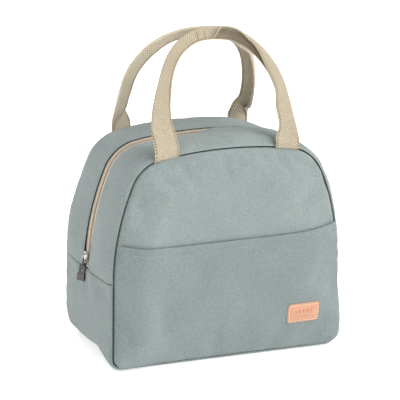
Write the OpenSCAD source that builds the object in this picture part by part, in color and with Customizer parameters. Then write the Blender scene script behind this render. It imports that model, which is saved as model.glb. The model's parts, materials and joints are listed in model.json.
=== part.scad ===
// Soft insulated lunch bag with a zip over the arched top, a front slip pocket and two webbing handles.
// X is the width, -Y the front, +Z up. The origin is the centre of the flat base.

/* [Body] */
// Widest distance between the two outer sides of the gusset strip
body_w = 244; // [225:1:270]
// Height of the outer crown above the base
body_h = 217; // [207:1:235]
// Width of the gusset strip, from the front seam to the rear seam
body_d = 128; // [110:1:150]
// Rounding of the two bottom corners
corner_r = 12; // [10:1:20]
// Rounding of the two shoulders
shoulder_r = 42; // [34:1:50]
// Radius of the slow arch over the top
crown_r = 430; // [400:5:600]
// Radius of the inward lean of the sides above the side seams
side_r = 255; // [235:5:300]
// Height of the side seams, where the lower gusset meets the zip gusset
seam_z = 88; // [80:1:95]
// Height of the crease at which the mouth folds open
fold_z = 130; // [126:1:136]

/* [Layers] */
// Thickness of the outer woven fabric
fabric_t = 1.2; // [0.8:0.1:1.6]
// Thickness of the insulating foam
foam_t = 4; // [3:0.5:5]
// Thickness of the foil lining
lining_t = 0.8; // [0.5:0.1:1]
// Width of the tape that binds the inner seams
binding_w = 8; // [6:1:12]

/* [Pocket] */
// Height of the pocket's top edge
pocket_h = 125; // [110:1:125]
// How far the pocket stands out in the middle
pocket_bulge = 8; // [7:0.5:10]
// Width of the leather patch
patch_w = 35; // [25:1:45]
// Height of the leather patch
patch_h = 20; // [14:1:26]
// Distance of the patch's centre from the middle of the bag
patch_x = 80; // [60:1:85]
// Height of the patch's centre
patch_z = 40; // [30:1:60]
// Thickness of the patch
patch_t = 1.2; // [0.8:0.1:2]

/* [Handles] */
// Width of the webbing
webbing_w = 25; // [20:1:30]
// Distance of each webbing end from the middle of the bag
handle_x = 64; // [56:1:68]
// Height of a handle above its fold, measured in its own plane
handle_h = 122; // [112:1:135]
// Outer radius of the arch at the top of a handle
arch_r = 68; // [60:1:70]
// Width of the folded grip, in the handle's plane
grip_w = 15; // [12:1:18]
// Thickness of the folded grip
grip_t = 6; // [5:0.5:7]
// Thickness of the flat webbing
webbing_t = 2.4; // [1.6:0.1:2.4]

/* [Zip] */
// Open gap between the two halves of the zip
zip_gap = 1.6; // [1.4:0.1:2]
// Width of one half of the coil
coil_w = 2.4; // [1.8:0.1:2.6]
// Width of one half of the tape
tape_w = 12; // [10:1:14]
// Thickness of the tape
tape_t = 0.8; // [0.5:0.1:1]
// Length of the slider
slider_l = 12; // [10:1:12]
// Distance the slider runs up the side of the bag
slider_run = 25; // [15:1:26]
// Length of the pull, from its eye to its end
pull_l = 27; // [22:1:34]

/* [Hidden] */

// Clearance between parts that move on each other
gap = 0.3;
// Larger than the whole bag, for cutting boxes
far = 600;

// Depth from the outer face of the gusset, layer by layer
foam_in = fabric_t;
lining_in = foam_in + foam_t;
binding_in = lining_in + lining_t;
cavity_in = binding_in + lining_t;

// The same layers counted from the seam plane of a panel towards the middle of the bag
seam_y = body_d / 2;
panel_y = seam_y - fabric_t;
panel_foam_y = panel_y - foam_t;
panel_lining_y = panel_foam_y - lining_t;

// Outline: a side arc, a shoulder and a crown, each tangent to the next
half_w = body_w / 2;
side_c = [half_w - side_r, seam_z];
crown_c = [0, body_h - crown_r];
centre_gap = norm(crown_c - side_c);
to_crown = (crown_c - side_c) / centre_gap;
along = (pow(side_r - shoulder_r, 2) - pow(crown_r - shoulder_r, 2) + pow(centre_gap, 2)) / (2 * centre_gap);
across = sqrt(pow(side_r - shoulder_r, 2) - pow(along, 2));
shoulder_c = side_c + along * to_crown + across * [-to_crown[1], to_crown[0]];
side_end = atan2(shoulder_c[1] - side_c[1], shoulder_c[0] - side_c[0]);
crown_end = atan2(shoulder_c[1] - crown_c[1], shoulder_c[0] - crown_c[0]);

// Pocket: a sheet bent to a shallow arc, seen from above
pocket_r = (pow(half_w - fabric_t, 2) + pow(pocket_bulge, 2)) / (2 * pocket_bulge);
pocket_arc = asin((half_w - fabric_t) / pocket_r);
pocket_c = pocket_r - pocket_bulge - seam_y;

// Zip: fabric edge, tape edge and coil edge, counted from the middle
coil_y = zip_gap / 2;
coil_edge = coil_y + coil_w;
lip_y = coil_edge + 2.4;
tape_edge = coil_y + tape_w;
coil_proud = 0.3;

// Handle fold, just outside the seam and above the crown
handle_top_z = crown_c[1] + sqrt(pow(crown_r, 2) - pow(handle_x - webbing_w / 2, 2));
fold_r = webbing_t / 2;
handle_y = -seam_y - fold_r - gap;
handle_z = handle_top_z + fold_r + gap;
arch_z = handle_h - arch_r;
// The two grips meet over the middle of the bag
lean = asin((-handle_y - gap / 2) / norm([handle_h, grip_t / 2])) - atan(grip_t / 2 / handle_h);
// Height above the fold at which the webbing starts to narrow, and where its flat ends stop
fold_start = 14;
stub_l = 26;
// Length of the sewn-in webbing ends, and their distance below the gusset's foam
anchor_l = 18;
anchor_drop = 5;

// Slider: it runs along the chord of the side arc, from just above the end stop
slider_low = seam_z + 10;
side_at_low = side_c[0] + sqrt(pow(side_r, 2) - pow(slider_low - seam_z, 2));
side_at_high = side_c[0] + sqrt(pow(side_r, 2) - pow(slider_low + slider_run - seam_z, 2));
slider_tilt = atan((side_at_low - side_at_high) / slider_run);
slider_gap = 0.9;
plate_t = 1.2;
neck_t = 0.8;
neck_l = 4;
flange_t = 0.8;
flange_y = coil_edge + 0.6;
plate_out = coil_proud + slider_gap;
plate_in = -foam_in - tape_t - slider_gap;
bridge_h = 4.2;
bridge_w = 1.8;
bridge_l = 9;
bridge_t = 1.1;

// Pull: the eye hangs in the lower half of the bridge
eye_r = 0.7;
eye_x = plate_out + plate_t + bridge_h - bridge_t - eye_r - 0.6;
eye_z = -1.6;
link_l = 7.5;
link_w = 4.4;
link_t = 0.8;
pull_t = 1.6;
pull_w = 8;
pull_rim = 1.6;

sage = "#8F9D9C";
cream = "#DACBAA";
foil = "#C9CED2";
foam_grey = "#E6E6E0";

function arc_points(centre, r, from, to, steps, skip = 0) =
    [for (i = [skip:steps]) centre + r * [cos(from + (to - from) * i / steps), sin(from + (to - from) * i / steps)]];

function half_outline(inset) = concat(
    arc_points([half_w - corner_r, corner_r], corner_r - inset, -90, 0, 6),
    arc_points(side_c, side_r - inset, 0, side_end, 5),
    arc_points(shoulder_c, shoulder_r - inset, side_end, crown_end, 10, 1),
    arc_points(crown_c, crown_r - inset, crown_end, 90, 4, 1));

function outline(inset) =
    let (half = half_outline(inset), last = len(half) - 1)
    concat(half, [for (i = [last - 1:-1:0]) [-half[i][0], half[i][1]]]);

// A flat drawing in X and Z, made solid from y0 to y1
module slab(y0, y1) {
    translate([0, y1, 0]) rotate([90, 0, 0]) linear_extrude(y1 - y0) children();
}

// The part of its children that lies between two heights
module band(z0, z1) {
    intersection() {
        children();
        translate([-far / 2, -far / 2, z0]) cube([far, far, z1 - z0]);
    }
}

// A strip that follows the outline, between two depths
module strip(in0, in1, y0, y1) {
    slab(y0, y1) difference() {
        polygon(outline(in0));
        polygon(outline(in1));
    }
}

module sheet(inset, y0, y1) {
    slab(y0, y1) polygon(outline(inset));
}

module lower() { band(-1, fold_z - gap / 2) children(); }
module upper() { band(fold_z + gap / 2, far) children(); }
module ends() { band(seam_z, fold_z - gap / 2) children(); }
module rear() { mirror([0, 1, 0]) children(); }

// Layers of the front half; the rear half mirrors them
module panel_fabric() { sheet(foam_in, -seam_y, -panel_y); }
module panel_lining() { sheet(lining_in, -panel_foam_y, -panel_lining_y); }
module zip_fabric() { strip(0, foam_in, -seam_y, -lip_y); }
module zip_foam() { strip(foam_in, lining_in, -panel_y, -tape_edge - gap); }
module zip_lining() { strip(lining_in, binding_in, -panel_lining_y, -tape_edge - gap); }
module tape_half() { strip(foam_in, foam_in + tape_t, -tape_edge, -coil_y); }
module coil_half() { strip(-coil_proud, foam_in, -coil_edge, -coil_y); }
module binding() { strip(binding_in, cavity_in, -panel_lining_y, -panel_lining_y + binding_w); }

// Room in the foam for the sewn-in ends of the handle
module panel_foam() {
    difference() {
        sheet(lining_in, -panel_y, -panel_foam_y);
        anchor_blocks();
    }
}

module anchor_blocks() {
    low_z = handle_top_z - lining_in - anchor_drop - anchor_l;
    for (side = [-1, 1])
        translate([side * handle_x - webbing_w / 2, -panel_y, low_z])
            cube([webbing_w, webbing_t, anchor_l]);
}

module base_gusset() { color(sage) band(-1, seam_z) strip(0, foam_in, -seam_y, seam_y); }
module front_panel_lower() { color(sage) lower() panel_fabric(); }
module back_panel_lower() { color(sage) lower() rear() panel_fabric(); }
module front_gusset_ends() { color(sage) ends() zip_fabric(); }
module rear_gusset_ends() { color(sage) ends() rear() zip_fabric(); }

// A sheet bent over the pocket's arc, between two offsets outwards
module bent_sheet(out0, out1, z0, z1) {
    steps = 24;
    outer = arc_points([0, pocket_c], pocket_r + out1, -90 - pocket_arc, -90 + pocket_arc, steps);
    inner = arc_points([0, pocket_c], pocket_r + out0, -90 + pocket_arc, -90 - pocket_arc, steps);
    translate([0, 0, z0]) linear_extrude(z1 - z0) polygon(concat(outer, inner));
}

module pocket_panel() {
    floor_z = foam_in;
    color(sage) difference() {
        intersection() {
            union() {
                bent_sheet(-fabric_t, 0, floor_z, pocket_h);
                bent_sheet(-pocket_bulge, 0, floor_z, floor_z + fabric_t);
            }
            sheet(foam_in, -far / 2, 0);
        }
        translate([-far / 2, -seam_y, -1]) cube(far);
    }
}

module label_patch() {
    r = 3;
    color("#EEB291") intersection() {
        bent_sheet(0, patch_t, patch_z - patch_h, patch_z + patch_h);
        slab(-far / 2, 0) translate([patch_x, patch_z]) union() {
            square([patch_w - 2 * r, patch_h], center = true);
            square([patch_w, patch_h - 2 * r], center = true);
            for (x = [-1, 1]) for (z = [-1, 1])
                translate([x * (patch_w / 2 - r), z * (patch_h / 2 - r)]) circle(r, $fn = 32);
        }
    }
}

module zip_tape_ends() {
    color(cream) ends() {
        tape_half();
        rear() tape_half();
    }
}

module zip_coil_ends() {
    color(cream) band(seam_z + 3, fold_z - gap / 2) {
        coil_half();
        rear() coil_half();
    }
}

module zip_end_stops() {
    color("silver") band(seam_z + 0.5, seam_z + 3) strip(-coil_proud, foam_in, -coil_edge, coil_edge);
}

module base_foam() {
    color(foam_grey) {
        band(-1, seam_z) strip(foam_in, lining_in, -panel_y, panel_y);
        ends() {
            zip_foam();
            rear() zip_foam();
        }
    }
}

module base_lining() {
    color(foil) {
        band(-1, seam_z) strip(lining_in, binding_in, -panel_lining_y, panel_lining_y);
        ends() {
            zip_lining();
            rear() zip_lining();
        }
    }
}

module front_foam_lower() { color(foam_grey) lower() panel_foam(); }
module back_foam_lower() { color(foam_grey) lower() rear() panel_foam(); }
module front_lining_lower() { color(foil) lower() panel_lining(); }
module back_lining_lower() { color(foil) lower() rear() panel_lining(); }
module front_binding_lower() { color("dimgray") lower() binding(); }
module rear_binding_lower() { color("dimgray") lower() rear() binding(); }

module front_panel_upper() { color(sage) upper() panel_fabric(); }
module back_panel_upper() { color(sage) upper() rear() panel_fabric(); }
module front_zip_gusset() { color(sage) upper() zip_fabric(); }
module rear_zip_gusset() { color(sage) upper() rear() zip_fabric(); }
module front_foam_upper() { color(foam_grey) upper() panel_foam(); }
module back_foam_upper() { color(foam_grey) upper() rear() panel_foam(); }
module front_gusset_foam() { color(foam_grey) upper() zip_foam(); }
module rear_gusset_foam() { color(foam_grey) upper() rear() zip_foam(); }
module front_lining_upper() { color(foil) upper() panel_lining(); }
module back_lining_upper() { color(foil) upper() rear() panel_lining(); }
module front_gusset_lining() { color(foil) upper() zip_lining(); }
module rear_gusset_lining() { color(foil) upper() rear() zip_lining(); }
module front_binding_upper() { color("dimgray") upper() binding(); }
module rear_binding_upper() { color("dimgray") upper() rear() binding(); }
module front_zip_tape() { color(cream) upper() tape_half(); }
module rear_zip_tape() { color(cream) upper() rear() tape_half(); }
module front_zip_coil() { color(cream) upper() coil_half(); }
module rear_zip_coil() { color(cream) upper() rear() coil_half(); }
module front_handle_anchors() { color(cream) anchor_blocks(); }
module rear_handle_anchors() { color(cream) rear() anchor_blocks(); }

// Edge of the handle arch: a foot, a half circle and the other foot
function arch_edge(foot_x, r) = concat(
    [[foot_x, fold_start]],
    arc_points([0, arch_z], r, 0, 180, 24),
    [[-foot_x, fold_start]]);

// Front handle in its own plane, with its fold along the X axis
module handle_frame() {
    translate([0, handle_y, handle_z]) rotate([-lean, 0, 0]) children();
}

module handle_webbing() {
    outer_x = handle_x + webbing_w / 2 - 1;
    handle_frame() {
        for (side = [-1, 1]) {
            translate([side * handle_x - webbing_w / 2, -webbing_t / 2, 0]) cube([webbing_w, webbing_t, stub_l]);
            translate([side * handle_x - webbing_w / 2, 0, 0]) rotate([0, 90, 0])
                cylinder(h = webbing_w, r = fold_r, $fn = 32);
        }
        slab(-grip_t / 2, grip_t / 2) difference() {
            polygon(arch_edge(outer_x, arch_r));
            polygon(concat(
                [[outer_x - webbing_w + 3, fold_start - 1]],
                arc_points([0, arch_z], arch_r - grip_w, 0, 180, 24),
                [[-outer_x + webbing_w - 3, fold_start - 1]]));
        }
    }
}

// Two rows of thread on the outside of the grip, where its folded edges are caught together
module handle_bartacks() {
    tack = [1.6, 0.6, grip_w - 3];
    handle_frame()
        for (x = [-12, -4])
            translate([x - tack[0] / 2, -grip_t / 2 - tack[1], handle_h - grip_w])
                cube(tack);
}

module front_handle_webbing() { color(cream) handle_webbing(); }
module rear_handle_webbing() { color(cream) rear() handle_webbing(); }
module front_handle_bartacks() { color("ivory") handle_bartacks(); }
module rear_handle_bartacks() { color("ivory") rear() handle_bartacks(); }

// Slider parts: X runs outwards from the side of the bag, Z up along the zip
module slider_frame() {
    translate([-side_at_low, 0, slider_low]) rotate([0, slider_tilt, 0]) mirror([1, 0, 0]) children();
}

module slider_body() {
    width = 2 * (flange_y + flange_t);
    color("silver") slider_frame() {
        for (x = [plate_out, plate_in - plate_t])
            translate([x, -width / 2, -slider_l / 2]) cube([plate_t, width, slider_l]);
        for (y = [-flange_y - flange_t, flange_y])
            translate([0, y, -slider_l / 2]) cube([plate_out, flange_t, slider_l]);
        translate([plate_in, -neck_t / 2, -slider_l / 2]) cube([plate_out - plate_in, neck_t, neck_l]);
    }
}

// A small arched loop over the slider, open from side to side for the link
module slider_bridge() {
    base_x = plate_out + plate_t;
    color("silver") slider_frame()
        translate([base_x, -bridge_w / 2, -bridge_l / 2]) difference() {
            cube([bridge_h, bridge_w, bridge_l]);
            translate([-1, -1, bridge_t])
                cube([bridge_h - bridge_t + 1, bridge_w + 2, bridge_l - 2 * bridge_t]);
        }
}

// The pull's own frame: its eye at the origin, hanging straight down
module pull_frame() {
    slider_frame() translate([eye_x, 0, eye_z]) rotate([0, slider_tilt, 0]) children();
}

module pull_link() {
    color("gray") pull_frame() {
        rotate([90, 0, 0]) cylinder(h = link_w, r = eye_r, center = true, $fn = 24);
        for (y = [-link_w / 2, link_w / 2 - link_t])
            translate([-eye_r, y, -link_l]) cube([2 * eye_r, link_t, link_l]);
    }
}

module pull_tab() {
    window_l = pull_l - link_l - 3 * pull_rim;
    color("dimgray") pull_frame() translate([-pull_t / 2, -pull_w / 2, -pull_l]) difference() {
        cube([pull_t, pull_w, pull_l - link_l]);
        translate([-1, pull_rim, pull_rim]) cube([pull_t + 2, pull_w - 2 * pull_rim, window_l]);
    }
}

base_gusset();
front_panel_lower();
back_panel_lower();
pocket_panel();
label_patch();
front_gusset_ends();
rear_gusset_ends();
zip_tape_ends();
zip_coil_ends();
zip_end_stops();
base_foam();
front_foam_lower();
back_foam_lower();
base_lining();
front_lining_lower();
back_lining_lower();
front_binding_lower();
rear_binding_lower();
front_panel_upper();
front_zip_gusset();
front_foam_upper();
front_gusset_foam();
front_lining_upper();
front_gusset_lining();
front_binding_upper();
front_zip_tape();
front_zip_coil();
front_handle_anchors();
back_panel_upper();
rear_zip_gusset();
back_foam_upper();
rear_gusset_foam();
back_lining_upper();
rear_gusset_lining();
rear_binding_upper();
rear_zip_tape();
rear_zip_coil();
rear_handle_anchors();
front_handle_webbing();
front_handle_bartacks();
rear_handle_webbing();
rear_handle_bartacks();
slider_body();
slider_bridge();
pull_link();
pull_tab();
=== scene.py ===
import json
import math

import bmesh
import bpy
import numpy as np
from mathutils import Matrix, Vector
from mathutils.bvhtree import BVHTree


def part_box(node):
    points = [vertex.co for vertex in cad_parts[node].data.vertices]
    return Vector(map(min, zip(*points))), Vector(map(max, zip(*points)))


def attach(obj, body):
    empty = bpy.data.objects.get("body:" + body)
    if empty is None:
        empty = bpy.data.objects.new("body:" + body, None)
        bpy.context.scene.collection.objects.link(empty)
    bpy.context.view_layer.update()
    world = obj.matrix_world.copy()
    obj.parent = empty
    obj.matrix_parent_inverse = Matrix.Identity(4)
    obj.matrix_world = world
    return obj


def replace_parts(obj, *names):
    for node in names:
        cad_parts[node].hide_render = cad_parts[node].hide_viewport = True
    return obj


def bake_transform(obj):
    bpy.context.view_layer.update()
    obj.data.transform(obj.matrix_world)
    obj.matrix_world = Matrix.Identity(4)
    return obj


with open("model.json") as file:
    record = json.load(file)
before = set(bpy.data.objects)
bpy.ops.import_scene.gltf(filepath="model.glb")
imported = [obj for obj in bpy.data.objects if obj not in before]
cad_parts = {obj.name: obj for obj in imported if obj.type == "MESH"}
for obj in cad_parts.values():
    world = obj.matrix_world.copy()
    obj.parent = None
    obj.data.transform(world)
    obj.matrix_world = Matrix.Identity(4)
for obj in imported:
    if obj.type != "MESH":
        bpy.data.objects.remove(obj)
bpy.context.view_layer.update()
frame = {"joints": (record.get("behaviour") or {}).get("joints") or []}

MM = 0.001

# ---------------------------------------- sizes, from the frame where it states them

SEAM_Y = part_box("base_gusset")[1].y
HALF_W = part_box("base_gusset")[1].x
SIDE_SEAM_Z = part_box("base_gusset")[1].z
BODY_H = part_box("rear_zip_gusset")[1].z
POCKET_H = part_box("pocket_panel")[1].z
CORNER_R = 12 * MM
SHOULDER_R = 42 * MM
CROWN_R = 430 * MM
SIDE_R = 255 * MM
FABRIC_T = 1.0 * MM
SEAM_INSET = 2.5 * MM          # the gusset rolls this far past the outline to its seam
PANEL_INSET = 4.5 * MM         # the panels stop this far inside it, and a groove is left between
LINING_INSET = 5.6 * MM
SIGN = {"front": -1, "rear": 1}          # the side of each half in Y
FORWARD = (0, -1.0, 0)                   # from the bag towards the viewer of its front


# ---------------------------------------- curves and shapes

def smooth(t):
    """0 up to 0, 1 from 1, and a soft step in between."""
    t = np.clip(t, 0, 1)
    return t * t * (3 - 2 * t)


def bump(t):
    """A soft hump, 1 at the middle and close to nothing from 2 outwards."""
    return np.exp(-t * t)


def between(value, start, end):
    """0 up to the start, 1 from the end, and smooth in between; start and end are in millimetres."""
    return smooth((value - start * MM) / ((end - start) * MM))


def unit(v):
    """The same directions, each of length 1."""
    return v / np.maximum(np.linalg.norm(v, axis=-1, keepdims=True), 1e-12)


def distances(path):
    """How far along a path each of its points lies."""
    return np.concatenate([[0], np.cumsum(np.linalg.norm(np.diff(path, axis=0), axis=1))])


def lift(flat, y):
    """Points in X and Z, given their Y."""
    return np.stack([flat[..., 0], np.broadcast_to(y, flat.shape[:-1]), flat[..., 1]], -1)


def cloth_grid(along, across):
    """A grid of pairs: every row's place along with every column's place across."""
    return np.stack(np.meshgrid(along, across, indexing="ij"), -1)


def rounded_box(half_size, r, steps=4):
    """Corner points of a rounded rectangle, in order."""
    corner = np.array(half_size) - r
    arcs = []
    for k, quadrant in enumerate(((1, 1), (-1, 1), (-1, -1), (1, -1))):
        a = np.radians(np.linspace(90 * k, 90 * k + 90, steps + 1))
        arcs.append(corner * quadrant + r * np.stack([np.cos(a), np.sin(a)], 1))
    return np.concatenate(arcs)


def rings_around(centre, side, up, radius, sides):
    """A circle of points round each point of a line, in the plane of two directions."""
    angle = np.arange(sides) * 2 * math.pi / sides
    side, up = (np.broadcast_to(v, centre.shape)[:, None] for v in (side, up))
    spread = np.cos(angle)[None, :, None] * side + np.sin(angle)[None, :, None] * up
    return centre[:, None] + np.reshape(radius, (-1, 1, 1)) * spread


# ---------------------------------------- outline of the bag, in X and Z

def arc(centre, radius, start, end, count=60):
    """Points on an arc between two angles in degrees, and the directions out from its centre."""
    angle = np.radians(np.linspace(start, end, count))
    out = np.stack([np.cos(angle), np.sin(angle)], 1)
    return np.array(centre) + radius * out, out


def run(start, end, out, count=40):
    """Points on a straight stretch, with one direction for all."""
    t = np.linspace(0, 1, count)[:, None]
    return (1 - t) * np.array(start) + t * np.array(end), np.tile(out, (count, 1))


class Outline:
    """The right half of the outline, by arc length from the middle of the base to the top of the crown."""

    def __init__(self):
        side_c = np.array([HALF_W - SIDE_R, SIDE_SEAM_Z])
        crown_c = np.array([0, BODY_H - CROWN_R])
        apart = np.linalg.norm(crown_c - side_c)
        to_crown = (crown_c - side_c) / apart
        a, b = SIDE_R - SHOULDER_R, CROWN_R - SHOULDER_R
        along = (a * a - b * b + apart * apart) / (2 * apart)
        across = math.sqrt(a * a - along * along)
        shoulder_c = side_c + along * to_crown + across * np.array([-to_crown[1], to_crown[0]])
        side_end = math.degrees(math.atan2(*(shoulder_c - side_c)[::-1]))
        crown_end = math.degrees(math.atan2(*(shoulder_c - crown_c)[::-1]))
        flat_x = HALF_W - CORNER_R
        stretches = [
            run((0, 0), (flat_x, 0), (0, -1)),
            arc((flat_x, CORNER_R), CORNER_R, -90, 0),
            run((HALF_W, CORNER_R), (HALF_W, SIDE_SEAM_Z), (1, 0)),
            arc(side_c, SIDE_R, 0, side_end),
            arc(shoulder_c, SHOULDER_R, side_end, crown_end),
            arc(crown_c, CROWN_R, crown_end, 90),
        ]
        self.points = np.concatenate([p for p, _ in stretches])
        self.out = np.concatenate([n for _, n in stretches])
        self.length = distances(self.points)
        self.corner = flat_x + CORNER_R * math.pi / 4
        self.seam = self.length_at_height(SIDE_SEAM_Z)
        self.shoulder = self.seam + SIDE_R * math.radians(side_end)
        self.shoulder += SHOULDER_R * math.radians(crown_end - side_end) / 2
        self.top = self.length[-1]

    def length_at_height(self, z):
        return float(np.interp(z, self.points[:, 1], self.length))

    def at(self, length, inset=0.0):
        """Points at these arc lengths; a negative length is on the left half."""
        length = np.asarray(length, float)
        s = np.abs(length)
        side = np.where(length < 0, -1.0, 1.0)
        p = [np.interp(s, self.length, self.points[:, i]) for i in (0, 1)]
        n = [np.interp(s, self.length, self.out[:, i]) for i in (0, 1)]
        return np.stack([side * (p[0] - inset * n[0]), p[1] - inset * n[1]], -1)


OUTLINE = Outline()
# Samples of the right half, so that the corner, the side seam and the shoulder each fall on one
STEPS = (30, 22, 28, 30)
PLACES = (0, OUTLINE.corner, OUTLINE.seam, OUTLINE.shoulder, OUTLINE.top)
RIGHT_S = np.concatenate([[0]] + [np.linspace(a, b, n + 1)[1:] for a, b, n in zip(PLACES, PLACES[1:], STEPS)])
I_CORNER, I_SEAM, I_SHOULDER, I_TOP = np.cumsum(STEPS)
# The zip gusset runs from the right side seam over the crown to the left one, the lower gusset under the base
ZIP_LOOP_S = np.concatenate([RIGHT_S[I_SEAM:], -RIGHT_S[I_SEAM:-1][::-1]])
LOW_LOOP_S = np.concatenate([-RIGHT_S[:I_SEAM + 1][::-1], RIGHT_S[1:I_SEAM + 1]])
LOOP_S = np.concatenate([ZIP_LOOP_S, LOW_LOOP_S[1:-1]])
N_ZIP = len(ZIP_LOOP_S)


def inwards(s):
    """Directions into the bag at these arc lengths."""
    return lift(OUTLINE.at(s, 1.0) - OUTLINE.at(s), 0.0)


def sag(s, y):
    """How far the bag has settled inwards: rear edge and right shoulder low, base edges tucked under at the
    back, the right side flared at its foot."""
    height, right = OUTLINE.at(s)[..., 1], s > 0
    rear = between(y, -10, 50)
    high = between(height, 120, 170)
    from_shoulder = np.abs(s) - OUTLINE.shoulder
    shoulders = high * rear * (3.0 + 1.4 * bump(from_shoulder / (34 * MM)))
    shoulders = shoulders + 4.4 * right * (0.35 + 0.65 * rear) * bump((from_shoulder + 6 * MM) / (22 * MM))
    tucked = 5.5 * between(y + SEAM_Y, 0, 45) * bump((np.abs(s) - OUTLINE.corner) / (15 * MM))
    flared = 3.4 * right * (1 - between(height, 24, 74)) * between(height, 0, 14) * (1 - 0.8 * rear)
    return (shoulders + tucked - flared) * MM


def settled_at(s, y, inset=0.0):
    """Points in X and Z at these arc lengths and this Y, as the bag has settled."""
    return OUTLINE.at(s, inset + sag(s, y))


def coons(bottom, top, left, right):
    """A patch between four boundary lines, as points [across, up]."""
    u = np.linspace(0, 1, len(bottom))[:, None, None]
    v = np.linspace(0, 1, len(left))[None, :, None]
    ruled_v = (1 - v) * bottom[:, None] + v * top[:, None]
    ruled_u = (1 - u) * left[None] + u * right[None]
    corners = (1 - u) * (1 - v) * bottom[0] + u * (1 - v) * bottom[-1]
    corners = corners + (1 - u) * v * top[0] + u * v * top[-1]
    return ruled_v + ruled_u - corners


def flat_panel(inset, y=None):
    """The whole domed outline as a patch in X and Z, or the shape it has settled into at a Y."""
    base = np.concatenate([-RIGHT_S[1:I_CORNER + 1][::-1], RIGHT_S[:I_CORNER + 1]])
    side = RIGHT_S[I_CORNER:I_SHOULDER + 1]
    crown = np.concatenate([-RIGHT_S[I_SHOULDER:I_TOP + 1], RIGHT_S[I_SHOULDER:I_TOP][::-1]])
    edges = (base, crown, -side, side)
    if y is None:
        return coons(*(OUTLINE.at(s, inset) for s in edges))
    return coons(*(settled_at(s, y, inset) for s in edges))


def edge_distance(flat, inset):
    """How far each point of a patch lies from the seam."""
    near = np.full(flat.shape[:-1], 1e9)
    for p in OUTLINE.at(np.linspace(-OUTLINE.top, OUTLINE.top, 900), inset):
        near = np.minimum(near, np.hypot(flat[..., 0] - p[0], flat[..., 1] - p[1]))
    return near


# ---------------------------------------- meshes

def new_object(name, verts, faces, material=None, cloth=None):
    """A smooth mesh; cloth holds each point's place in the flat cloth, which the weave follows."""
    mesh = bpy.data.meshes.new(name)
    mesh.from_pydata([tuple(map(float, v)) for v in verts], [], faces)
    mesh.update()
    if cloth is not None:
        layer = mesh.attributes.new("cloth", "FLOAT_VECTOR", "POINT")
        padded = np.zeros((len(verts), 3), np.float32)
        padded[:, :2] = cloth.reshape(-1, 2)
        layer.data.foreach_set("vector", padded.ravel())
    mesh.polygons.foreach_set("use_smooth", [True] * len(mesh.polygons))
    obj = bpy.data.objects.new(name, mesh)
    bpy.context.scene.collection.objects.link(obj)
    if material is not None:
        mesh.materials.append(material)
    return obj


def grid_faces(rows, columns, flip=False, closed_rows=False, closed_columns=False):
    """Four-sided faces between the points of a grid, numbered row by row."""
    faces = []
    for i in range(rows if closed_rows else rows - 1):
        for j in range(columns if closed_columns else columns - 1):
            a, b = i * columns + j, (i + 1) % rows * columns + j
            step = (j + 1) % columns - j
            face = (a, b, b + step, a + step)
            faces.append(face[::-1] if flip else face)
    return faces


def grid_object(name, grid, material, cloth, flip=False):
    faces = grid_faces(grid.shape[0], grid.shape[1], flip)
    return new_object(name, grid.reshape(-1, 3), faces, material, cloth)


def outward(obj):
    """Turns the faces of a closed mesh outwards."""
    bm = bmesh.new()
    bm.from_mesh(obj.data)
    bmesh.ops.recalc_face_normals(bm, faces=bm.faces)
    bm.to_mesh(obj.data)
    bm.free()
    return obj


def tubes_object(name, tubes, material, closed=False):
    """One mesh of many tubes through rings of points, each capped at its ends unless it is closed."""
    tubes = np.array(tubes)
    count, sides = tubes.shape[1:3]
    faces = grid_faces(count, sides, closed_rows=closed, closed_columns=True)
    if not closed:
        faces += [tuple(range(sides)), tuple(range((count - 1) * sides, count * sides))]
    faces = [tuple(k * count * sides + v for v in face) for k in range(len(tubes)) for face in faces]
    return outward(new_object(name, tubes.reshape(-1, 3), faces, material))


def rounded(obj):
    """Smooths a mesh between its points."""
    sub = obj.modifiers.new("round", "SUBSURF")
    sub.levels = sub.render_levels = 1
    return obj


def give_thickness(obj, thickness, offset):
    solid = obj.modifiers.new("cloth_thickness", "SOLIDIFY")
    solid.thickness = thickness
    solid.offset = offset


def thicken(obj, thickness=FABRIC_T, offset=-1.0):
    """Cloth of a thickness behind its given outer face, or with half on either side if the offset is 0."""
    give_thickness(rounded(obj), thickness, offset)


def turn_in(obj, by):
    """A seam allowance: every open edge is carried on inwards."""
    bm = bmesh.new()
    bm.from_mesh(obj.data)
    made = bmesh.ops.extrude_edge_only(bm, edges=[e for e in bm.edges if e.is_boundary])
    bmesh.ops.translate(bm, vec=by, verts=[g for g in made["geom"] if isinstance(g, bmesh.types.BMVert)])
    for face in bm.faces:
        face.smooth = True
    bm.to_mesh(obj.data)
    bm.free()


def settle(verts, faces, pins, pressure, growth, frames, cap):
    """Cloth that swells and wrinkles between its pinned points, moved by no more than cap."""
    obj = new_object("settling", verts, faces)
    group = obj.vertex_groups.new(name="pin")
    group.add([int(i) for i in np.nonzero(pins)[0]], 1.0, "REPLACE")
    cloth = obj.modifiers.new("cloth", "CLOTH")
    settings = cloth.settings
    settings.quality = 5
    settings.tension_stiffness = settings.compression_stiffness = 30
    settings.shear_stiffness = 10
    settings.bending_stiffness = 3
    settings.use_pressure = True
    settings.uniform_pressure_force = pressure
    settings.shrink_min = -growth
    settings.vertex_group_mass = "pin"
    settings.effector_weights.gravity = 0
    cloth.collision_settings.use_collision = False
    cloth.point_cache.frame_end = frames
    for step in range(1, frames + 1):
        bpy.context.scene.frame_set(step)
    evaluated = obj.evaluated_get(bpy.context.evaluated_depsgraph_get())
    after = np.array([v.co for v in evaluated.data.vertices])
    bpy.data.objects.remove(obj)
    moved = after - verts
    far = np.linalg.norm(moved, axis=1, keepdims=True)
    return verts + moved * np.minimum(1, cap / np.maximum(far, 1e-9))


# ---------------------------------------- the sewn shell

FRONT_LIP, REAR_LIP = 7.0 * MM, 6.2 * MM     # fabric edges either side of the zip
HALF_COLUMNS = 15
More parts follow.
